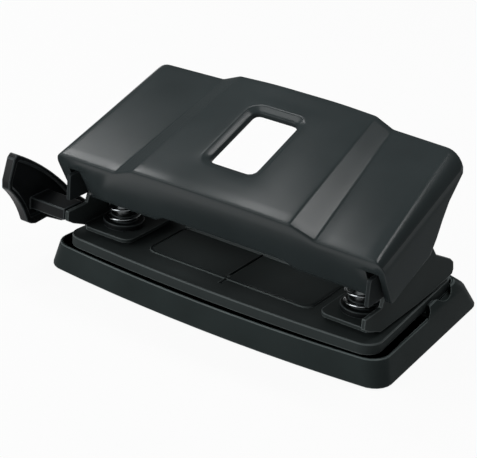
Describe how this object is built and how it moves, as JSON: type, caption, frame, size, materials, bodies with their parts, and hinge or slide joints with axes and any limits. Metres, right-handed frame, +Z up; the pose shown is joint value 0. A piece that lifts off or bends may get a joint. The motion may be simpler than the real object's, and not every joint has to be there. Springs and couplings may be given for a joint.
{
  "type": "two-hole desk punch",
  "caption": "Desk hole punch: pressed steel lever cover hinged on front posts over sprung punch pins, steel base plate, plastic chip tray and a sliding paper stop.",
  "frame": {"origin": "on the table, midway between the two punched holes", "axes": "+X along the line of holes to the right, +Y away from the paper entry, +Z up"},
  "size_m": [0.1204, 0.0775, 0.057],
  "materials": {
    "charcoal_paint": "satin charcoal paint",
    "black_steel": "satin black paint",
    "black_plastic": "fine grained black moulding",
    "bright_steel": "ground steel",
    "grey_steel": "phosphated steel",
    "spring_wire": "bright spring wire"
  },
  "bodies": {
    "base": {"base_tray": "black_plastic", "base_plate": "black_steel", "bracket_left": "black_steel", "bracket_right": "black_steel", "bracket_rivets": "bright_steel", "post_left": "grey_steel", "post_right": "grey_steel", "bush_left": "black_plastic", "bush_right": "black_plastic", "spring_left": "spring_wire", "spring_right": "spring_wire"},
    "lever": {"lever_cover": "charcoal_paint", "press_left": "grey_steel", "press_right": "grey_steel"},
    "punch_left": {"pin_left": "bright_steel", "cup_left": "bright_steel", "clip_left": "grey_steel"},
    "punch_right": {"pin_right": "bright_steel", "cup_right": "bright_steel", "clip_right": "grey_steel"},
    "stop": {"paper_stop": "black_plastic"}
  },
  "joints": [
    {"name": "lever_hinge", "type": "hinge", "parent": "base", "child": "lever", "pos_m": [0, -0.0135, 0.031], "axis": [-1, 0, 0], "range_deg": [0, 20], "stiffness_Nm_per_rad": 0.7, "springref_deg": -8.59},
    {"name": "punch_left_slide", "type": "slide", "parent": "base", "child": "punch_left", "axis": [0, 0, -1], "range_m": [0, 0.0048], "deforming": ["spring_left"]},
    {"name": "punch_right_slide", "type": "slide", "parent": "base", "child": "punch_right", "axis": [0, 0, -1], "range_m": [0, 0.0048], "deforming": ["spring_right"]},
    {"name": "stop_slide", "type": "slide", "parent": "base", "child": "stop", "axis": [-1, 0, 0], "range_m": [0, 0.03]}
  ],
  "couplings": [
    {"joint": "punch_left_slide", "follows": "lever_hinge", "m_per_rad": 0.0135},
    {"joint": "punch_right_slide", "follows": "lever_hinge", "m_per_rad": 0.0135}
  ]
}
